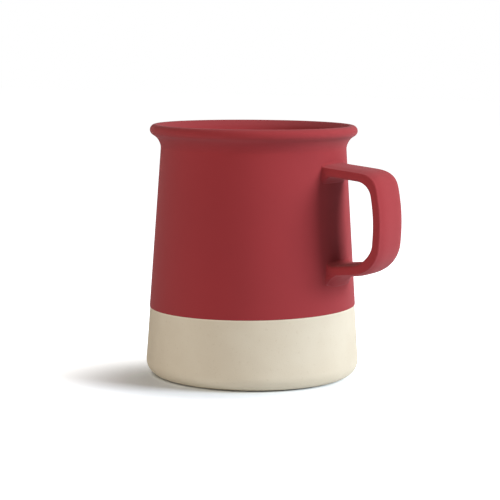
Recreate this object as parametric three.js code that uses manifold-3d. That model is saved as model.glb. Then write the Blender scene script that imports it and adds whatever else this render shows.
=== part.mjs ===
// A stoneware mug: a turned cup with a flared lip, a strap handle set on with slip, and a red glaze.
// Millimetres, degrees, +Z up. The origin is the middle of the flat base, and the handle points along +X.
import * as THREE from "three";
import { mergeVertices } from "three/addons/utils/BufferGeometryUtils.js";
import Module from "manifold-3d";

// Sizes of the clay cup
const cupHeight = 104.8;
const footRadius = 45.2; // where the line of the wall meets the plane of the base
const footRound = 6;
const wallLean = 3.95; // inwards from upright
const wallThick = 4;
const floorThick = 5;
const floorRound = 9; // inside, where the wall meets the floor

// Sizes of the lip, which leans out over the wall and ends in a full round
const lipOverhang = 5.2; // past the line of the wall, carried up to the height of the lip
const lipRound = 2.1; // half the thickness of the lip
const lipRise = 34; // climb of the underside, from level
const neckRound = 6; // outside, under the lip
const throatRound = 7.5; // inside, below the lip

// Sizes of the clay strap: its section, and its middle line from the upper root to the lower one.
// Drops are below the rim of the cup, and reaches are out from the line of its wall.
const strapWidth = 18.95;
const strapThick = 3.7;
const upperRootDrop = 16.8;
const upperCornerDrop = 19.1;
const upperCornerReach = 21.35;
const upperCornerRound = 7.5;
const backDrop = 35.05; // of the slight bend in the long back
const backReach = 23.1;
const backRound = 66;
const lowerCornerDrop = 55.55;
const lowerCornerReach = 20.4;
const lowerCornerRound = 11.6;
const lowerRootDrop = 57.8;

// Sizes of the slip pads under the two roots
const slipThick = 1;
const jointGap = 0.3; // at each face of a pad, and at the open ends of the handle's coat

// Sizes of the glaze
const coatThick = 0.15; // on the cup
const strapCoatThick = 0.3; // on the strap, where the glaze gathers
const coatGap = 0.05; // between a coat and the clay
const coatSeam = 0.3; // between the outer coat and the liner, on the crest of the lip
const dipHeight = 29.25; // of the dip line on the axis
const dipTilt = 0.97; // the cup was dipped a little out of level
const dipTiltTowards = 31; // the side where the line runs highest, turned from the handle

// Fineness of the round shapes
const turnSides = 40;
const arcStep = 22.5;
const fewestSteps = 4; // on a bend, however slight
const strapSteps = 36;
const edgeSides = 4; // facets on each rounded edge of the strap
const weldDistance = 1e-4; // points closer than this are one point

const clay = new THREE.MeshStandardMaterial({ color: 0xc6b79b, roughness: 0.9, metalness: 0 });
const slip = new THREE.MeshStandardMaterial({ color: 0xb9a98c, roughness: 0.95, metalness: 0 });
const redGlaze = new THREE.MeshStandardMaterial({ color: 0x9c4146, roughness: 0.45, metalness: 0 });

const wasm = await Module();
wasm.setup();

// A closed geometry as a solid that can be joined and cut
function solidOf(geometry) {
  const bare = geometry.clone();
  bare.deleteAttribute("normal");
  bare.deleteAttribute("uv");
  const merged = mergeVertices(bare, weldDistance);
  const mesh = new wasm.Mesh({
    numProp: 3,
    vertProperties: merged.getAttribute("position").array,
    triVerts: new Uint32Array(merged.index.array),
  });
  return new wasm.Manifold(mesh);
}

// A cut solid back as a geometry
function geometryOf(solid) {
  const mesh = solid.getMesh();
  const geometry = new THREE.BufferGeometry();
  geometry.setAttribute("position", new THREE.BufferAttribute(mesh.vertProperties, 3));
  geometry.setIndex(new THREE.BufferAttribute(mesh.triVerts, 1));
  geometry.computeVertexNormals();
  return geometry;
}

// Points along straight runs whose corners are rounded. A corner is a point and its radius, 0 for an end.
// A radius is limited by the shorter run beside it.
function roundedRuns(corners) {
  const points = corners.flatMap(({ point, radius }, i) => {
    if (radius === 0) return [point];
    const back = corners[i - 1].point.clone().sub(point);
    const ahead = corners[i + 1].point.clone().sub(point);
    const longest = Math.min(back.length(), ahead.length()) / 2;
    const halfAngle = Math.acos(back.normalize().dot(ahead.normalize())) / 2;
    const tangent = Math.min(radius / Math.tan(halfAngle), longest);
    const start = point.clone().addScaledVector(back, tangent);
    const middle = back.clone().add(ahead).setLength(tangent / Math.cos(halfAngle)).add(point);
    const turn = (Math.PI - 2 * halfAngle) * -Math.sign(back.cross(ahead));
    const steps = Math.max(fewestSteps, Math.ceil(THREE.MathUtils.radToDeg(Math.abs(turn)) / arcStep));
    const pointOnArc = (_, k) => start.clone().rotateAround(middle, (turn * k) / steps);
    return Array.from({ length: steps + 1 }, pointOnArc);
  });
  return points.filter((point, i) => i === 0 || point.distanceTo(points[i - 1]) > weldDistance);
}

// An outline moved by a distance to the right of its direction, which is out of the clay
function movedOut(outline, distance) {
  const normals = outline.slice(1).map((point, i) => {
    const run = point.clone().sub(outline[i]).normalize();
    return new THREE.Vector2(run.y, -run.x);
  });
  return outline.map((point, i) => {
    const before = normals[Math.max(i - 1, 0)];
    const after = normals[Math.min(i, normals.length - 1)];
    const mitre = before.clone().add(after).divideScalar(1 + before.dot(after));
    return point.clone().addScaledVector(mitre, distance);
  });
}

// A section turned round the cup's axis. Its points are radius and height.
function turned(section) {
  return new THREE.LatheGeometry(section, turnSides).rotateX(Math.PI / 2);
}

// The line of the outer wall
const lean = Math.tan(THREE.MathUtils.degToRad(wallLean));
const wallRadius = (height) => footRadius - lean * height;
const innerRadius = (height) => wallRadius(height) - wallThick * Math.hypot(1, lean);

// The point where a line from a start point along a direction meets a leaning wall of the given base radius
function meetWall(start, direction, baseRadius) {
  const run = (baseRadius - start.x - lean * start.y) / (direction.x + lean * direction.y);
  return start.clone().addScaledVector(direction, run);
}

// Section of the clay cup, from the middle of the base round the lip to the middle of the floor
const lipOut = new THREE.Vector2(1, 0).rotateAround(new THREE.Vector2(), THREE.MathUtils.degToRad(lipRise));
const lipDown = new THREE.Vector2(lipOut.y, -lipOut.x);
const lipMiddle = new THREE.Vector2(wallRadius(cupHeight) + lipOverhang - lipRound, cupHeight - lipRound);
const lipEnd = lipMiddle.clone().addScaledVector(lipOut, lipRound);
const lipUnder = lipEnd.clone().addScaledVector(lipDown, lipRound);
const lipOver = lipEnd.clone().addScaledVector(lipDown, -lipRound);
const cupOutline = roundedRuns([
  { point: new THREE.Vector2(0, 0), radius: 0 },
  { point: new THREE.Vector2(footRadius, 0), radius: footRound },
  { point: meetWall(lipUnder, lipOut, footRadius), radius: neckRound },
  { point: lipUnder, radius: lipRound },
  { point: lipOver, radius: lipRound },
  { point: meetWall(lipOver, lipOut, innerRadius(0)), radius: throatRound },
  { point: new THREE.Vector2(innerRadius(floorThick), floorThick), radius: floorRound },
  { point: new THREE.Vector2(0, floorThick), radius: 0 },
]);

// The crest of the lip, where the outer coat ends. The liner starts one seam further in.
const crest = cupOutline.reduce((best, point, i) => (point.y > cupOutline[best].y ? i : best), 0);
const inwards = cupOutline[crest + 1].clone().sub(cupOutline[crest]);
cupOutline.splice(crest + 1, 0, cupOutline[crest].clone().add(inwards.setLength(coatSeam)));

// The end of the foot's round, where the straight wall starts
const wallStart = cupOutline.findIndex((point) => point.y > footRound);

// The cup with its hollow filled, grown by a distance: it trims what meets the outer wall
function filledCup(growth) {
  const outside = movedOut(cupOutline, growth).slice(0, crest + 1);
  return solidOf(turned([...outside, new THREE.Vector2(0, outside[crest].y)]));
}

// Rounded flat section of the strap, grown all round by a distance
function strapSection(growth, kind = THREE.Shape) {
  const edge = strapThick / 2 + growth;
  const half = (strapWidth - strapThick) / 2;
  const section = new kind();
  section.absarc(half, 0, edge, -Math.PI / 2, Math.PI / 2);
  section.absarc(-half, 0, edge, Math.PI / 2, (3 * Math.PI) / 2);
  section.closePath();
  return section;
}

// A point beside the wall, by its drop below the rim and its reach out from the line of the wall
function besideWall(drop, reach) {
  const height = cupHeight - drop;
  return new THREE.Vector2(wallRadius(height) + reach, height);
}

// Middle line of the strap. Both ends start half way through the wall, and are trimmed later.
const upperRoot = besideWall(upperRootDrop, -wallThick / 2);
const upperCorner = besideWall(upperCornerDrop, upperCornerReach);
const backBend = besideWall(backDrop, backReach);
const lowerCorner = besideWall(lowerCornerDrop, lowerCornerReach);
const lowerRoot = besideWall(lowerRootDrop, -wallThick / 2);
const strapLine = roundedRuns([
  { point: upperRoot, radius: 0 },
  { point: upperCorner, radius: upperCornerRound },
  { point: backBend, radius: backRound },
  { point: lowerCorner, radius: lowerCornerRound },
  { point: lowerRoot, radius: 0 },
]);

// A section swept along points of radius and height, in the upright plane through the handle
function swept(section, line, steps) {
  const path = new THREE.CurvePath();
  const stations = line.map((point) => new THREE.Vector3(point.x, 0, point.y));
  stations.slice(1).forEach((station, i) => path.add(new THREE.LineCurve3(stations[i], station)));
  return new THREE.ExtrudeGeometry(section, { extrudePath: path, steps, curveSegments: edgeSides });
}

// The end of an arm, from inside the wall to the corner: what a pad and a window in the glaze are cut from
function rootStub(root, corner, growth) {
  return solidOf(swept(strapSection(growth), [root, corner], 1));
}

function makeBody() {
  return turned(cupOutline);
}

function makeHandle() {
  const strap = solidOf(swept(strapSection(0), strapLine, strapSteps));
  return geometryOf(strap.subtract(filledCup(jointGap + slipThick + jointGap)));
}

function makeSlipJoint(root, corner) {
  const padOuter = filledCup(jointGap + slipThick);
  const pad = rootStub(root, corner, 0).intersect(padOuter).subtract(filledCup(jointGap));
  return geometryOf(pad);
}

// The half-space below the dip line, as a wide box
function belowDipLine() {
  const width = 4 * footRadius; // well past the cup on every side
  const box = new THREE.BoxGeometry(width, width, width).translate(0, 0, -width / 2);
  box.rotateY(-THREE.MathUtils.degToRad(dipTilt)).rotateZ(THREE.MathUtils.degToRad(dipTiltTowards));
  return solidOf(box.translate(0, 0, dipHeight));
}

function makeOuterGlaze() {
  const face = movedOut(cupOutline, coatGap + coatThick).slice(wallStart, crest + 1);
  const back = movedOut(cupOutline, coatGap).slice(wallStart, crest + 1);
  const coat = solidOf(turned([...face, ...back.reverse(), face[0]]));
  const upperWindow = rootStub(upperRoot, upperCorner, jointGap);
  const lowerWindow = rootStub(lowerRoot, lowerCorner, jointGap);
  return geometryOf(coat.subtract(belowDipLine()).subtract(upperWindow).subtract(lowerWindow));
}

function makeHandleGlaze() {
  const section = strapSection(coatGap + strapCoatThick);
  section.holes.push(strapSection(coatGap, THREE.Path));
  const sleeve = solidOf(swept(section, strapLine, strapSteps));
  return geometryOf(sleeve.subtract(filledCup(coatGap + coatThick + jointGap)));
}

function makeLinerGlaze() {
  const face = movedOut(cupOutline, coatGap + coatThick).slice(crest + 1);
  const back = movedOut(cupOutline, coatGap).slice(crest + 1);
  return turned([...back.reverse(), ...face]);
}

const mug = new THREE.Group();

function addPiece(name, geometry, material) {
  const piece = new THREE.Mesh(geometry, material);
  piece.name = name;
  mug.add(piece);
}

addPiece("clay_body", makeBody(), clay);
addPiece("handle", makeHandle(), clay);
addPiece("upper_slip_joint", makeSlipJoint(upperRoot, upperCorner), slip);
addPiece("lower_slip_joint", makeSlipJoint(lowerRoot, lowerCorner), slip);
addPiece("outer_glaze", makeOuterGlaze(), redGlaze);
addPiece("handle_glaze", makeHandleGlaze(), redGlaze);
addPiece("liner_glaze", makeLinerGlaze(), redGlaze);

export default mug;
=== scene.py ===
# %% [markdown]
# A stoneware mug with a dipped red glaze.
# The mug is a clay cup turned on a wheel, a clay strap bent into a handle, and a coat of glaze that stops
# short of the foot. This lesson models each the way it is made: one outline spun round the axis for the
# cup, one section drawn along a bent line for the strap, and a thin shell for the glaze. All sizes are
# metres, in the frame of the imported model: the middle of the flat base is the origin, +Z is up, and the
# handle points along +X.

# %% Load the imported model
import math

import bmesh
import bpy
from mathutils import Matrix, Vector


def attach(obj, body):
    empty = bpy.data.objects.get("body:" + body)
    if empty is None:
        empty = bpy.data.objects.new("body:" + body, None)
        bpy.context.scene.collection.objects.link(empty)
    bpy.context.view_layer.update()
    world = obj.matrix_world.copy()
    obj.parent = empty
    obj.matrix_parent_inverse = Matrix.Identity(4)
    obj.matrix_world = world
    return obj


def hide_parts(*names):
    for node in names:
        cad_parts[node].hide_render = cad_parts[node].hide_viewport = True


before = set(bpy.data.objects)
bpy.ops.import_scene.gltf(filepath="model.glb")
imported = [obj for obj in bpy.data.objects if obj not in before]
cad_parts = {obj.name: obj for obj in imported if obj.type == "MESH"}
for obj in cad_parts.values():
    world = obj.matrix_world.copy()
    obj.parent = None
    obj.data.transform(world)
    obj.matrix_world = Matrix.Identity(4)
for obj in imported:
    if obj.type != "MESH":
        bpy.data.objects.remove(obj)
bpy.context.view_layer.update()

mm = 0.001
print("solids of the packed model:", sorted(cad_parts))

# %% [markdown]
# The camera.
# The camera comes first, because every later choice is judged through it. It stands well back with a long
# lens, a little above the rim, and is turned and tilted by plain angles: round the mug, down towards it,
# and a fraction of a degree of roll. A matrix of three turns is easier to read than a quaternion, and
# needs no target object.

# %% Camera
photo_width = 500  # pixels, and as many high
focal_pixels = 1660.7
sensor_width = 36.0  # millimetres, as Blender counts lenses

camera_distance = 694.7 * mm  # from the axis of the cup, on the level
camera_height = 140.1 * mm
camera_round = math.radians(31.3)  # from the side where +X points right, towards the handle
camera_left = math.radians(0.1)  # aimed past the axis
camera_down = math.radians(7.22)
camera_roll = math.radians(0.413)

camera = bpy.data.objects.new("camera", bpy.data.cameras.new("camera"))
bpy.context.scene.collection.objects.link(camera)
camera.data.sensor_width = sensor_width
camera.data.lens = focal_pixels * sensor_width / photo_width
turn = Matrix.Rotation(camera_round + camera_left, 4, "Z")
tilt = Matrix.Rotation(math.pi / 2 - camera_down, 4, "X")
roll = Matrix.Rotation(camera_roll, 4, "Z")
stand = Vector((math.sin(camera_round), -math.cos(camera_round), 0)) * camera_distance
stand.z = camera_height
camera.matrix_world = Matrix.Translation(stand) @ turn @ tilt @ roll
bpy.context.scene.camera = camera
print("lens", round(camera.data.lens, 1), "mm, camera at", [round(x, 3) for x in stand])

# %% [markdown]
# Fired surfaces.
# A kiln leaves no surface of one flat colour. Glaze and bare clay both show slow clouds, where the heat
# or the thickness changed, and small flecks, where grains came to the surface. All the finishes share one
# node group for this, which puts out masks only. Each material mixes its own colours with them, so that
# the group can be used again at another scale. Object coordinates keep the pattern in real sizes on every
# piece.

# %% Node group: clouds and flecks
noise_detail = 3.0
soft_spread = 0.3, 0.7  # part of the noise that a cloud or a grain runs over
fleck_spread = 0.60, 0.72  # a high and narrow part, so that flecks are few and small


def new_node(tree, kind, **settings):
    """A new node in a tree, with its settings."""
    node = tree.nodes.new(kind)
    for name, value in settings.items():
        setattr(node, name, value)
    return node


def kiln_marks_group():
    """Masks of slow clouds, small flecks and fine grain. Sizes are metres."""
    group = bpy.data.node_groups.new("kiln_marks", "ShaderNodeTree")
    for name in ("Cloud Size", "Fleck Size", "Grain Size"):
        group.interface.new_socket(name, in_out="INPUT", socket_type="NodeSocketFloat")
    for name in ("Cloud", "Fleck", "Grain"):
        group.interface.new_socket(name, in_out="OUTPUT", socket_type="NodeSocketFloat")
    inside = group.nodes.new("NodeGroupInput")
    outside = group.nodes.new("NodeGroupOutput")
    place = group.nodes.new("ShaderNodeTexCoord")
    for mark in ("Cloud", "Fleck", "Grain"):
        scale = new_node(group, "ShaderNodeMath", operation="DIVIDE")
        scale.inputs[0].default_value = 1.0
        noise = group.nodes.new("ShaderNodeTexNoise")
        noise.inputs["Detail"].default_value = noise_detail
        group.links.new(inside.outputs[mark + " Size"], scale.inputs[1])
        group.links.new(place.outputs["Object"], noise.inputs["Vector"])
        group.links.new(scale.outputs["Value"], noise.inputs["Scale"])
        spread = new_node(group, "ShaderNodeMapRange", interpolation_type="SMOOTHSTEP")
        low, high = fleck_spread if mark == "Fleck" else soft_spread
        spread.inputs["From Min"].default_value = low
        spread.inputs["From Max"].default_value = high
        group.links.new(noise.outputs["Fac"], spread.inputs["Value"])
        group.links.new(spread.outputs["Result"], outside.inputs[mark])
    return group


kiln_marks = kiln_marks_group()
marks_out = [item.name for item in kiln_marks.interface.items_tree if item.in_out == "OUTPUT"]
print("node group", kiln_marks.name, "puts out", marks_out)

# %% Helpers for materials
def start_material(name, cloud_size, fleck_size, grain_size):
    """A material with its shader and the kiln's marks at the given sizes."""
    material = bpy.data.materials.new(name)
    material.use_nodes = True
    tree = material.node_tree
    marks = new_node(tree, "ShaderNodeGroup", node_tree=kiln_marks)
    marks.inputs["Cloud Size"].default_value = cloud_size
    marks.inputs["Fleck Size"].default_value = fleck_size
    marks.inputs["Grain Size"].default_value = grain_size
    return material, tree, tree.nodes["Principled BSDF"], marks


def socket_of(sockets, identifier):
    """A socket by its identifier, for a node that has several sockets of one name."""
    return next(socket for socket in sockets if socket.identifier == identifier)


def mixed(tree, mask, first, second):
    """A colour between two colours, by a mask. Each colour is a value or another node's socket."""
    mix = new_node(tree, "ShaderNodeMix", data_type="RGBA")
    tree.links.new(mask, socket_of(mix.inputs, "Factor_Float"))
    for identifier, colour in (("A_Color", first), ("B_Color", second)):
        socket = socket_of(mix.inputs, identifier)
        if isinstance(colour, bpy.types.NodeSocket):
            tree.links.new(colour, socket)
        else:
            socket.default_value = (*colour, 1.0)
    return socket_of(mix.outputs, "Result_Color")


def mapped(tree, value, low, high, to_low, to_high):
    """A value moved from one range to another, smoothly and within its ends."""
    spread = new_node(tree, "ShaderNodeMapRange", interpolation_type="SMOOTHSTEP")
    tree.links.new(value, spread.inputs["Value"])
    for name, number in zip(("From Min", "From Max", "To Min", "To Max"), (low, high, to_low, to_high)):
        spread.inputs[name].default_value = number
    return spread.outputs["Result"]


def bumped(tree, shader, height, depth):
    """Relief of the given depth, in metres, on a shader's normal."""
    bump = tree.nodes.new("ShaderNodeBump")
    bump.inputs["Strength"].default_value = 1.0
    bump.inputs["Distance"].default_value = depth
    tree.links.new(height, bump.inputs["Height"])
    tree.links.new(bump.outputs["Normal"], shader.inputs["Normal"])

# %% [markdown]
# The red glaze.
# It is a satin glaze: a deep red with no mirror in it, and a dusty bloom where light grazes it, from the
# fine crystals in its skin. The Sheen of the shader gives that bloom, and a rough, weak gloss does the
# rest. The clouds only shift the red and the roughness by a hair, and the grain is the faint skin that a
# satin glaze has close up.

# %% Material: red glaze
deep_red = (0.288, 0.0172, 0.0218)
warm_red = (0.300, 0.0180, 0.0227)
glaze_marks = 26 * mm, 1.5 * mm, 0.9 * mm  # sizes of clouds, flecks and grain
glaze_roughness = 0.73, 0.77
glaze_ior = 1.4
glaze_gloss = 0.05  # a tenth of what the shader starts with
bloom_weight = 0.1
bloom_roughness = 0.8
glaze_skin_depth = 0.004 * mm


def make_red_glaze():
    material, tree, shader, marks = start_material("satin_red_glaze", *glaze_marks)
    colour = mixed(tree, marks.outputs["Cloud"], deep_red, warm_red)
    roughness = mapped(tree, marks.outputs["Cloud"], 0, 1, *glaze_roughness)
    tree.links.new(colour, shader.inputs["Base Color"])
    tree.links.new(roughness, shader.inputs["Roughness"])
    shader.inputs["IOR"].default_value = glaze_ior
    shader.inputs["Specular IOR Level"].default_value = glaze_gloss
    shader.inputs["Sheen Weight"].default_value = bloom_weight
    shader.inputs["Sheen Roughness"].default_value = bloom_roughness
    bumped(tree, shader, marks.outputs["Grain"], glaze_skin_depth)
    return material


red_glaze = make_red_glaze()
print("material", red_glaze.name)

# %% [markdown]
# The outline of the cup.
# A wheel turns every cup from one outline, so the model starts from the same thing: a few corner points,
# joined by edges, in the plane through the axis. A vertex bevel rounds each corner to its own radius.
# Working the arcs out by hand would give the same points, with more to go wrong.

# %% Sizes of the clay cup
cup_height = 104.8 * mm
foot_radius = 45.2 * mm  # where the line of the wall meets the plane of the base
foot_round = 6 * mm
wall_slope = math.tan(math.radians(3.95))
wall_thick = 4 * mm
floor_thick = 5 * mm
floor_round = 9 * mm
lip_overhang = 5.2 * mm
lip_round = 2.1 * mm
lip_rise = math.radians(34)
neck_round = 6 * mm
throat_round = 7.5 * mm


def wall_radius(height):
    return foot_radius - wall_slope * height


print("rim radius", round((wall_radius(cup_height) + lip_overhang) / mm, 2), "mm")

# %% Corners of the outline
bore_foot = foot_radius - wall_thick * math.hypot(1, wall_slope)


def meet_wall(start, along, base_radius):
    """Where a line in the plane of the outline meets a leaning wall."""
    run = (base_radius - start.x - wall_slope * start.z) / (along.x + wall_slope * along.z)
    return start + along * run


lip_out = Vector((math.cos(lip_rise), 0, math.sin(lip_rise)))
lip_up = Vector((-lip_out.z, 0, lip_out.x))
lip_middle = Vector((wall_radius(cup_height) + lip_overhang - lip_round, 0, cup_height - lip_round))
lip_end = lip_middle + lip_out * lip_round
lip_under = lip_end - lip_up * lip_round
lip_over = lip_end + lip_up * lip_round

# Corners from the neck, over the lip, to the middle of the floor. Each has the radius of its round.
upper_corners = [
    (meet_wall(lip_under, lip_out, foot_radius), neck_round),
    (lip_under, lip_round),
    (lip_over, lip_round),
    (meet_wall(lip_over, lip_out, bore_foot), throat_round),
    (Vector((bore_foot - wall_slope * floor_thick, 0, floor_thick)), floor_round),
    (Vector((0, 0, floor_thick)), 0),
]
print("corners from the neck to the floor:", len(upper_corners))

# %% Draw an outline
arc_segments = 12
round_profile = 0.5  # a bevel of this profile is an arc of a circle


def draw_outline(bm, corners):
    """Edges through the corners, each corner rounded by a vertex bevel."""
    verts = [bm.verts.new(point) for point, radius in corners]
    for start, end in zip(verts, verts[1:]):
        bm.edges.new((start, end))
    for i, (point, radius) in enumerate(corners):
        if radius:
            opening = (corners[i - 1][0] - point).angle(corners[i + 1][0] - point)
            bmesh.ops.bevel(
                bm, geom=[verts[i]], affect="VERTICES", offset_type="OFFSET",
                offset=radius / math.tan(opening / 2), segments=arc_segments,
                profile=round_profile, material=-1,
            )

# %% [markdown]
# Turning.
# Spin sweeps the outline round the axis, as the wheel does. A full spin needs its ends merged, and the
# points on the axis come out once for every step, so doubles are welded too. Only then are the normals
# worked out again: before the weld, the mesh is still open at its seam and its poles.

# %% Turn an outline, and keep a finished piece
wheel_steps = 160
weld_distance = 0.001 * mm


def turn_on_wheel(bm):
    """Sweeps the outline in a mesh once round the Z axis."""
    bmesh.ops.spin(
        bm, geom=bm.verts[:] + bm.edges[:], cent=(0, 0, 0), axis=(0, 0, 1), dvec=(0, 0, 0),
        angle=2 * math.pi, steps=wheel_steps, use_merge=True,
    )
    bmesh.ops.remove_doubles(bm, verts=bm.verts[:], dist=weld_distance)
    bmesh.ops.recalc_face_normals(bm, faces=bm.faces[:])


def keep_piece(bm, name, material, slot, *nodes):
    """Makes a finished mesh a smooth piece of the mug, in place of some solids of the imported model."""
    for face in bm.faces:
        face.smooth = True
    mesh = bpy.data.meshes.new(name)
    bm.to_mesh(mesh)
    open_edges = sum(1 for edge in bm.edges if not edge.is_manifold)
    print(name, len(bm.verts), "points,", len(bm.faces), "faces,", open_edges, "open edges, volume",
          round(bm.calc_volume(signed=True) / mm ** 3, 1), "mm3")
    bm.free()
    piece = bpy.data.objects.new(name, mesh)
    bpy.context.scene.collection.objects.link(piece)
    piece.data.materials.append(material)
    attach(piece, "root")
    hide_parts(*nodes)

# %% [markdown]
# The dip line.
# The mug was held by its foot and dipped, so the glaze ends in a line that is almost level. It runs a
# little higher on one side. The line is a plane, and both the edge of the glaze and the paler band under
# it on the clay are measured from that plane.

# %% Dip line
dip_height = 29.25 * mm  # on the axis
dip_slope = math.tan(math.radians(0.97))
dip_towards = math.radians(31)  # the side where the line runs highest
dip_side = Vector((math.cos(dip_towards), math.sin(dip_towards), 0))
dip_up = Vector((0, 0, 1)) - dip_side * dip_slope


def on_dip_line(point):
    """A point of the wall, moved up or down the wall to the dip line."""
    outward = Vector((point.x, point.y, 0)).normalized()
    rise = dip_slope * outward.dot(dip_side)
    height = (dip_height + rise * foot_radius) / (1 + rise * wall_slope)
    return outward * wall_radius(height) + Vector((0, 0, height))


dip_ends = [round(on_dip_line(side).z / mm, 2) for side in (-dip_side, dip_side)]
print("dip line from", dip_ends[0], "to", dip_ends[1], "mm")

# %% [markdown]
# The bare clay.
# Below the dip line the stoneware shows as it left the kiln: cream, dry and faintly mottled, with a paler
# band just under the edge of the glaze. Under the base are the fine rings of the turning tool.
# The mottle comes from the shared group. The band and the rings are worked out from the position, because
# they follow the shape of the cup.

# %% Material: bare stoneware
cream = (0.66, 0.588, 0.464)
toasted_cream = (0.63, 0.553, 0.43)
fleck_tan = (0.50, 0.414, 0.283)
# paler colour of a narrow band just under the dip line
pale_band_cream = (0.77, 0.688, 0.547)
clay_marks = 17 * mm, 1.1 * mm, 0.35 * mm  # sizes of clouds, flecks and grain
clay_roughness = 0.82, 0.95
clay_gloss = 0.25
clay_relief = 0.02 * mm
fleck_share = 0.22
# width and strength of that paler band below the dip line
pale_band_width = 1.1 * mm
pale_band_share = 0.7
ring_pitch = 1.6 * mm
ring_heights = 0.2 * mm, 1.0 * mm  # above the base, where the rings fade


def off_axis(tree):
    """How far a point of the surface is from the axis of the cup."""
    place = tree.nodes.new("ShaderNodeTexCoord")
    level = new_node(tree, "ShaderNodeVectorMath", operation="MULTIPLY")
    level.inputs[1].default_value = (1, 1, 0)
    length = new_node(tree, "ShaderNodeVectorMath", operation="LENGTH")
    tree.links.new(place.outputs["Object"], level.inputs[0])
    tree.links.new(level.outputs["Vector"], length.inputs[0])
    return length.outputs["Value"]


def make_stoneware():
    material, tree, shader, marks = start_material("bare_stoneware", *clay_marks)
    place = tree.nodes.new("ShaderNodeTexCoord")
    above_line = new_node(tree, "ShaderNodeVectorMath", operation="DOT_PRODUCT")
    tree.links.new(place.outputs["Object"], above_line.inputs[0])
    above_line.inputs[1].default_value = dip_up
    # a paler band that rises to its full strength at the dip line
    pale_band = mapped(tree, above_line.outputs["Value"], dip_height - pale_band_width, dip_height, 0, pale_band_share)
    clouded = mixed(tree, marks.outputs["Cloud"], cream, toasted_cream)
    faint_flecks = mapped(tree, marks.outputs["Fleck"], 0, 1, 0, fleck_share)
    flecked = mixed(tree, faint_flecks, clouded, fleck_tan)
    tree.links.new(mixed(tree, pale_band, flecked, pale_band_cream), shader.inputs["Base Color"])
    tree.links.new(mapped(tree, marks.outputs["Grain"], 0, 1, *clay_roughness), shader.inputs["Roughness"])
    shader.inputs["Specular IOR Level"].default_value = clay_gloss

    # Rings of the tool: a wave of the distance from the axis, on the base alone
    phase = new_node(tree, "ShaderNodeMath", operation="MULTIPLY")
    phase.inputs[1].default_value = 2 * math.pi / ring_pitch
    wave = new_node(tree, "ShaderNodeMath", operation="SINE")
    apart = tree.nodes.new("ShaderNodeSeparateXYZ")
    tree.links.new(off_axis(tree), phase.inputs[0])
    tree.links.new(phase.outputs["Value"], wave.inputs[0])
    tree.links.new(place.outputs["Object"], apart.inputs["Vector"])
    under = mapped(tree, apart.outputs["Z"], *ring_heights, 1, 0)
    rings = new_node(tree, "ShaderNodeMath", operation="MULTIPLY_ADD")
    tree.links.new(wave.outputs["Value"], rings.inputs[0])
    tree.links.new(under, rings.inputs[1])
    tree.links.new(marks.outputs["Grain"], rings.inputs[2])
    bumped(tree, shader, rings.outputs["Value"], clay_relief)
    return material


bare_stoneware = make_stoneware()
print("material", bare_stoneware.name)

# %% [markdown]
# The clay cup.
# The whole cup is turned in one go, base, wall, lip and floor, although the glaze will hide most of it. A
# cup that is closed all round is a sound solid by itself, and the glaze then has clay behind it
# everywhere.

# %% Clay cup
cup_mesh = bmesh.new()
draw_outline(cup_mesh, [(Vector((0, 0, 0)), 0), (Vector((foot_radius, 0, 0)), foot_round)] + upper_corners)
turn_on_wheel(cup_mesh)
keep_piece(cup_mesh, "clay_cup", bare_stoneware, "stoneware", "clay_body")

# %% [markdown]
# The glaze on the cup.
# The coat is one skin from the dip line over the lip to the floor inside. It is turned from the upper
# part of the same outline, its lowest ring is slid along the wall to the dip line, and the skin is moved
# off the clay along its normals. Solidify then gives it thickness, and a bevel rounds the edge where the
# glaze ends, because surface tension leaves a small roll there and not a step.

# %% Glaze on the cup
coat_gap = 0.05 * mm
coat_thick = 0.15 * mm
coat_rise = coat_gap + coat_thick
edge_roll = 0.11 * mm
roll_segments = 4


def turned_out(face):
    """More than 0 for a face that looks away from the axis of the cup."""
    middle = face.calc_center_median()
    return face.normal.dot(Vector((middle.x, middle.y, 0)))


skin_mesh = bmesh.new()
draw_outline(skin_mesh, [(Vector((wall_radius(dip_height), 0, dip_height)), 0)] + upper_corners)
turn_on_wheel(skin_mesh)
dip_edges = [edge for edge in skin_mesh.edges if edge.is_boundary]
for vert in {vert for edge in dip_edges for vert in edge.verts}:
    vert.co = on_dip_line(vert.co)
skin_mesh.normal_update()
if sum(turned_out(face) for edge in dip_edges for face in edge.link_faces) < 0:
    bmesh.ops.reverse_faces(skin_mesh, faces=skin_mesh.faces[:])
    skin_mesh.normal_update()
for vert in skin_mesh.verts:
    vert.co += vert.normal * coat_rise
bmesh.ops.solidify(skin_mesh, geom=skin_mesh.faces[:], thickness=coat_thick)
bmesh.ops.bevel(
    skin_mesh, geom=dip_edges, affect="EDGES", offset_type="OFFSET", offset=edge_roll,
    segments=roll_segments, profile=round_profile, material=-1,
)
keep_piece(skin_mesh, "cup_glaze", red_glaze, "red_glaze", "outer_glaze", "liner_glaze")

# %% [markdown]
# The strap.
# The handle is a strap bent to a D: an upper arm, a back that bows out a little, and a lower arm. The
# model bends one too, along a middle line of straight runs and round corners. A curve with a bevel object
# could do it, but a mesh drawn by hand leaves each ring of points free to swell or to flare later.

# %% Middle line of the strap
strap_width = 20.0 * mm
strap_outside = 1.6 * mm  # from the middle line to the outer face, at its edges
strap_crown = 1.0 * mm  # more in the middle of that face, which is rounded
crown_power = 4  # keeps the middle of the crown nearly flat
strap_inside = 2.05 * mm  # from the middle line to the face in the loop


def beside_wall(drop, reach):
    """A point in the plane of the handle, by its drop below the rim and its reach out from the wall."""
    height = cup_height - drop
    return Vector((wall_radius(height) + reach, 0, height))


upper_root_drop = 16.8 * mm  # below the rim, in the middle of the wall
lower_root_drop = 57.8 * mm
upper_root = beside_wall(upper_root_drop, -wall_thick / 2)
lower_root = beside_wall(lower_root_drop, -wall_thick / 2)

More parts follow.
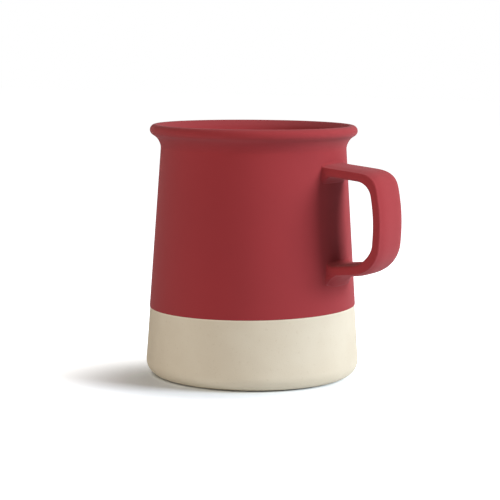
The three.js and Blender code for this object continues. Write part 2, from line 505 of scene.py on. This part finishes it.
# Bends from the top of the handle down its back to the bottom. Each is a corner, the radius of its round,
# and how much clay gathers there outside and in the loop.
strap_bends = [
    (beside_wall(19.1 * mm, 21.35 * mm), 9 * mm, 0.7 * mm, 0),
    (beside_wall(35.05 * mm, 23.1 * mm), 66 * mm, 0, 0),
    (beside_wall(55.55 * mm, 20.4 * mm), 11.6 * mm, 0.2 * mm, 0.4 * mm),
]
stations = [upper_root, *(bend[0] for bend in strap_bends), lower_root]
runs = [(end - start).normalized() for start, end in zip(stations, stations[1:])]
across = Vector((0, 1, 0))


def outer_side(along):
    """The side of the strap that faces away from the loop, where the strap runs along a direction."""
    return Vector((-along.z, 0, along.x))


strap_thick = strap_outside + strap_crown + strap_inside
strap_sizes = [round(size / mm, 2) for size in (strap_width, strap_thick)]
print("strap", strap_sizes[0], "by", strap_sizes[1], "mm, with", len(strap_bends), "bends")

# %% [markdown]
# The section of the strap.
# Cut across, the strap is flat in the loop, a little rounded outside, and has fairly crisp edges. The
# section starts as four corners, each rounded by a vertex bevel, and the middle of the outer face is then
# pushed out. Two layers on the points keep where each lies in the section and which way it faces there.
# Every extrusion copies the layers, so later steps can read them anywhere on the strap.

# %% Section of the strap
outer_round = 0.65 * mm  # on both edges of the outer face
loop_round = 1.4 * mm  # on both edges of the face in the loop
corner_segments = 8
flat_cuts = 15

# Corners once round the section, each with its round. X is towards the outer face, Y across the strap.
section = [
    (strap_outside, strap_width / 2, outer_round),
    (-strap_inside, strap_width / 2, loop_round),
    (-strap_inside, -strap_width / 2, loop_round),
    (strap_outside, -strap_width / 2, outer_round),
]


def faces_out(vert):
    """Which way the section faces at one of its points, from its two edges."""
    total = Vector((0, 0, 0))
    for edge in vert.link_edges:
        along = (edge.verts[1].co - edge.verts[0].co).normalized()
        square = Vector((along.y, -along.x, 0))
        total += square if square.dot(vert.co) > 0 else -square
    return total.normalized()


strap_mesh = bmesh.new()
seat = strap_mesh.verts.layers.float_vector.new("seat")  # place in the section, kept by every extrusion
facing = strap_mesh.verts.layers.float_vector.new("facing")  # which way the section faces there
ring = [strap_mesh.verts.new((x, y, 0)) for x, y, radius in section]
for first, second in zip(ring, ring[1:] + ring[:1]):
    strap_mesh.edges.new((first, second))
for vert, (x, y, radius) in zip(ring, section):
    bmesh.ops.bevel(
        strap_mesh, geom=[vert], affect="VERTICES", offset_type="OFFSET", offset=radius,
        segments=corner_segments, profile=round_profile, material=-1,
    )
flats = [edge for edge in strap_mesh.edges if edge.verts[0].co.y * edge.verts[1].co.y < 0]
bmesh.ops.subdivide_edges(strap_mesh, edges=flats, cuts=flat_cuts)
half_face = strap_width / 2 - outer_round
for vert in strap_mesh.verts:
    if vert.co.x > 0 and abs(vert.co.y) < half_face:
        vert.co.x += strap_crown * (1 - (vert.co.y / half_face) ** crown_power)
for vert in strap_mesh.verts:
    vert[seat] = vert.co
    vert[facing] = faces_out(vert)
print("section of", len(strap_mesh.verts), "points")

# %% [markdown]
# Bending the strap.
# The section is extruded along each straight run and spun round each bend: the upper corner, the slight
# bow of the back and the lower corner. Spin is the right tool for a bend, because every edge of the
# section keeps its own true radius. Clay gathers at a corner, so the strap swells there.

# %% Draw the strap along its line
arm_start = 9 * mm  # from the root, in the wall, to where the plain part of an arm starts
bend_steps = 20
run_steps = 6


def edges_of(geometry):
    return [item for item in geometry if isinstance(item, bmesh.types.BMEdge) and item.is_boundary]


def verts_of(edges):
    return list({vert for edge in edges for vert in edge.verts})


def draw_run(bm, rim, move):
    """Extrudes a ring of edges along a straight run."""
    for step in range(run_steps):
        rim = edges_of(bmesh.ops.extrude_edge_only(bm, edges=rim)["geom"])
        bmesh.ops.translate(bm, verts=verts_of(rim), vec=move / run_steps)
    return rim


def draw_bend(bm, rim, start, before, after, radius, outside, inside):
    """Spins a ring of edges round a bend of the middle line, and swells it most half way round."""
    drawn = set(bm.verts)
    centre = start - outer_side(before) * radius
    sweep = before.angle(after)
    bent = bmesh.ops.spin(
        bm, geom=verts_of(rim) + rim, cent=centre, axis=across, dvec=(0, 0, 0),
        angle=sweep, steps=bend_steps,
    )
    for vert in bm.verts:
        if vert not in drawn:
            spoke = Vector((vert.co.x - centre.x, 0, vert.co.z - centre.z)).normalized()
            swell = math.sin(math.pi * min(1, outer_side(before).angle(spoke) / sweep)) ** 2
            share = max(-1, min(1, vert[seat].x / strap_outside))
            vert.co += spoke * swell * share * (outside if share > 0 else inside)
    return edges_of(bent["geom_last"])


place = upper_root + runs[0] * arm_start
facing_up = Matrix((outer_side(runs[0]), across, -runs[0])).transposed().to_4x4()
bmesh.ops.transform(strap_mesh, matrix=Matrix.Translation(place) @ facing_up, verts=strap_mesh.verts[:])
upper_rim = strap_mesh.edges[:]
rim = upper_rim
for (corner, radius, outside, inside), before, after in zip(strap_bends, runs, runs[1:]):
    reach = radius * math.tan(before.angle(after) / 2)
    bend_start = corner - before * reach
    rim = draw_run(strap_mesh, rim, bend_start - place)
    rim = draw_bend(strap_mesh, rim, bend_start, before, after, radius, outside, inside)
    place = corner + after * reach
lower_rim = draw_run(strap_mesh, rim, lower_root - runs[-1] * arm_start - place)
print("strap drawn with", len(strap_mesh.faces), "faces")

# %% [markdown]
# The roots of the strap.
# Where the strap meets the wall, slip was smoothed into the corner with a finger, so there is a soft
# hollow round each root and no seam. It is wide under both arms and narrow beside them. Every point of
# the section is carried on along its arm to the wall, on a Bezier curve of three points: on the arm, near
# the sharp corner, and on the wall. Above and below the arm the middle point is drawn out of the corner,
# which leaves the flatter fill that a finger leaves. A bevel can't do this, because strap and cup are two
# pieces.

# %% Roots of the strap
flare_steps = 10
flare_sink = 0.03 * mm  # the last ring lies this far under the face of the glaze
strap_coat = 0.04 * mm  # thinner than on the cup, so that it clears the clay of the strap
hollow_beside = 0.6 * mm  # width of the hollow at the edges of the strap
hollow_flatness = 0.5  # how far the middle point is drawn out of the corner
upper_hollows = 1.0 * mm, 3.2 * mm  # widths on the outer face and in the loop
lower_hollows = 4.2 * mm, 1.6 * mm
glaze_foot = foot_radius + coat_rise * math.hypot(1, wall_slope)


def meet_glaze(point, along):
    """Where a line in an upright plane along the handle meets the glaze on the wall."""
    radius = glaze_foot - wall_slope * point.z
    square = along.x ** 2 - (wall_slope * along.z) ** 2
    half = point.x * along.x + wall_slope * along.z * radius
    rest = point.x ** 2 + point.y ** 2 - radius ** 2
    return point + along * ((-half + math.sqrt(half ** 2 - square * rest)) / square)


def drop_on_glaze(point, sink):
    """A point moved level to the glaze on the wall, or a little under it."""
    outward = Vector((point.x, point.y, 0)).normalized()
    return outward * (glaze_foot - wall_slope * point.z - sink) + Vector((0, 0, point.z))


def draw_root(bm, rim, root, away, outer, hollow_outside, hollow_inside):
    """Carries an end of the strap on to the wall, with hollows of two widths outside and in the loop."""
    for step in range(flare_steps + 1):
        share = step / flare_steps
        rim = edges_of(bmesh.ops.extrude_edge_only(bm, edges=rim)["geom"])
        for vert in verts_of(rim):
            place = root + outer * vert[seat].x + across * vert[seat].y
            lean = outer * vert[facing].x + across * vert[facing].y
            level = vert[facing].x ** 2
            widest = hollow_outside if vert[facing].x > 0 else hollow_inside
            hollow = hollow_beside + (widest - hollow_beside) * level
            corner = meet_glaze(place, away)
            landing = drop_on_glaze(corner + lean * hollow, flare_sink * share)
            on_arm = corner + away * hollow
            pull = corner.lerp((on_arm + landing) / 2, hollow_flatness * level)
            vert.co = on_arm.lerp(pull, share).lerp(pull.lerp(landing, share), share)


draw_root(strap_mesh, upper_rim, upper_root, runs[0], outer_side(runs[0]), *upper_hollows)
draw_root(strap_mesh, lower_rim, lower_root, -runs[-1], outer_side(runs[-1]), *lower_hollows)
bmesh.ops.recalc_face_normals(strap_mesh, faces=strap_mesh.faces[:])
bmesh.ops.solidify(strap_mesh, geom=strap_mesh.faces[:], thickness=strap_coat)
keep_piece(strap_mesh, "strap_glaze", red_glaze, "red_glaze", "handle_glaze")

# %% [markdown]
# What the glaze hides.
# The clay of the strap and the two pads of slip are inside the glaze, so their solids from the packed
# model stay as they are. They still get fired clay, because the parts can be taken apart and looked at
# one by one.

# %% Hidden clay and slip
slip_pale = (0.52, 0.43, 0.31)
slip_dark = (0.47, 0.385, 0.27)
slip_marks = 6 * mm, 0.8 * mm, 0.3 * mm  # sizes of clouds, flecks and grain
slip_roughness = 0.85, 0.97


def make_slip():
    material, tree, shader, marks = start_material("fired_slip", *slip_marks)
    tree.links.new(mixed(tree, marks.outputs["Cloud"], slip_pale, slip_dark), shader.inputs["Base Color"])
    tree.links.new(mapped(tree, marks.outputs["Grain"], 0, 1, *slip_roughness), shader.inputs["Roughness"])
    bumped(tree, shader, marks.outputs["Grain"], clay_relief)
    return material


fired_slip = make_slip()
hidden = {"handle": bare_stoneware, "upper_slip_joint": fired_slip, "lower_slip_joint": fired_slip}
for node, material in hidden.items():
    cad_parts[node].data.materials.clear()
    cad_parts[node].data.materials.append(material)
print("hidden solids finished:", sorted(hidden))

# %% [markdown]
# Floor and surround.
# The mug stands on white. The floor takes the shadow with a plain diffuse shader, whose white is a little
# cool: only the warm fills reach the shadow, and this keeps it grey. Outside an oval round the shadow it
# also glows, for the camera and for reflections, so that it fades into a white surround with no more
# light on the mug. A Mapping node turns and squeezes the floor's own coordinates, so that the oval
# becomes a plain distance. The world is white for the same rays, and lights nothing.

# %% Oval of the shadow, and the rays that see the glow
shadow_middle = 10.5 * mm, 20.4 * mm  # left of the axis and towards the camera
shadow_half = 91 * mm, 69 * mm  # across the picture and along the view
shadow_core = 0.33  # share of the oval that has no glow at all


def seen_directly(tree):
    """1 for camera, glossy and transmission rays, and 0 for the rest."""
    rays = tree.nodes.new("ShaderNodeLightPath")
    seen = rays.outputs["Is Camera Ray"]
    for name in ("Is Glossy Ray", "Is Transmission Ray"):
        either = new_node(tree, "ShaderNodeMath", operation="MAXIMUM")
        tree.links.new(seen, either.inputs[0])
        tree.links.new(rays.outputs[name], either.inputs[1])
        seen = either.outputs["Value"]
    return seen


def shadow_oval(tree):
    """0 in the middle of the oval of floor that keeps its shadow, and 1 on the edge of that oval."""
    place = tree.nodes.new("ShaderNodeTexCoord")
    left = Vector((-math.cos(camera_round), -math.sin(camera_round), 0))
    near = Vector((math.sin(camera_round), -math.cos(camera_round), 0))
    oval = new_node(tree, "ShaderNodeMapping", vector_type="TEXTURE")
    oval.inputs["Location"].default_value = left * shadow_middle[0] + near * shadow_middle[1]
    oval.inputs["Rotation"].default_value = (0, 0, camera_round)
    oval.inputs["Scale"].default_value = (*shadow_half, 1)
    length = new_node(tree, "ShaderNodeVectorMath", operation="LENGTH")
    tree.links.new(place.outputs["Object"], oval.inputs["Vector"])
    tree.links.new(oval.outputs["Vector"], length.inputs[0])
    return length.outputs["Value"]


print("shadow kept on an oval of", [round(2 * half / mm) for half in shadow_half], "mm")

# %% Floor
floor_size = 6.0
floor_drop = 0.1 * mm  # keeps the floor off the flat base
floor_white = (0.87, 0.92, 0.955, 1.0)


def make_floor_material():
    material = bpy.data.materials.new("white_floor")
    material.use_nodes = True
    tree = material.node_tree
    tree.nodes.clear()
    matt = tree.nodes.new("ShaderNodeBsdfDiffuse")
    matt.inputs["Color"].default_value = floor_white
    glow = tree.nodes.new("ShaderNodeEmission")
    strength = new_node(tree, "ShaderNodeMath", operation="MULTIPLY")
    both = tree.nodes.new("ShaderNodeAddShader")
    out = tree.nodes.new("ShaderNodeOutputMaterial")
    tree.links.new(mapped(tree, shadow_oval(tree), shadow_core, 1, 0, 1), strength.inputs[0])
    tree.links.new(seen_directly(tree), strength.inputs[1])
    tree.links.new(strength.outputs["Value"], glow.inputs["Strength"])
    tree.links.new(matt.outputs["BSDF"], both.inputs[0])
    tree.links.new(glow.outputs["Emission"], both.inputs[1])
    tree.links.new(both.outputs["Shader"], out.inputs["Surface"])
    return material


def make_floor():
    bm = bmesh.new()
    bmesh.ops.create_grid(bm, x_segments=1, y_segments=1, size=floor_size / 2)
    bmesh.ops.translate(bm, verts=bm.verts[:], vec=(0, 0, -floor_drop))
    mesh = bpy.data.meshes.new("floor")
    bm.to_mesh(mesh)
    bm.free()
    floor = bpy.data.objects.new("floor", mesh)
    bpy.context.scene.collection.objects.link(floor)
    floor.data.materials.append(make_floor_material())


make_floor()
print("floor of", floor_size, "m across")

# %% World
def make_world():
    world = bpy.data.worlds.new("surround")
    world.use_nodes = True
    tree = world.node_tree
    background = tree.nodes["Background"]
    background.inputs["Color"].default_value = (1, 1, 1, 1)
    tree.links.new(seen_directly(tree), background.inputs["Strength"])
    bpy.context.scene.world = world


make_world()
print("world", bpy.context.scene.world.name)

# %% [markdown]
# Lamps.
# A soft key stands to the right, a little above the mug, and throws the shadow of the strap on the wall.
# A weaker lamp above it lights the lip and the inside. On the left are two weak fills, one low and one
# high, a little warmer than the key, which is why the clay looks pale on the right and tan on the left.
# Each lamp is placed by angles round the mug, counted from the camera, because that is how a photographer
# would set it up.

# %% Lamps
lamp_distance = 1.0
lamp_size = 0.4
daylight = (0.97, 1.03, 1.10)
lamplight = (1.08, 0.98, 0.88)

# Each lamp by its name, its degrees round to the right of the camera and up, its watts and its colour
lamps = [
    ("key", 75, 25, 10.0, daylight),
    ("high", 90, 45, 2.2, daylight),
    ("low_fill", -60, 5, 2.9, lamplight),
    ("front_fill", -30, 45, 3.05, lamplight),
]


def make_lamp(name, round_right, up, watts, colour):
    """A square area lamp aimed at the middle of the mug."""
    lamp = bpy.data.objects.new(name, bpy.data.lights.new(name, "AREA"))
    bpy.context.scene.collection.objects.link(lamp)
    lamp.data.shape = "SQUARE"
    lamp.data.size = lamp_size
    lamp.data.energy = watts
    lamp.data.color = colour
    heading = camera_round + math.radians(round_right)
    rise = math.radians(up)
    level = Vector((math.sin(heading), -math.cos(heading), 0))
    towards = level * math.cos(rise) + Vector((0, 0, math.sin(rise)))
    aim = Vector((0, 0, cup_height / 2))
    facing_mug = towards.to_track_quat("Z", "Y").to_matrix().to_4x4()
    lamp.matrix_world = Matrix.Translation(aim + towards * lamp_distance) @ facing_mug


for lamp in lamps:
    make_lamp(*lamp)
bpy.context.scene.view_settings.view_transform = "Standard"
print("lamps:", [lamp[0] for lamp in lamps])
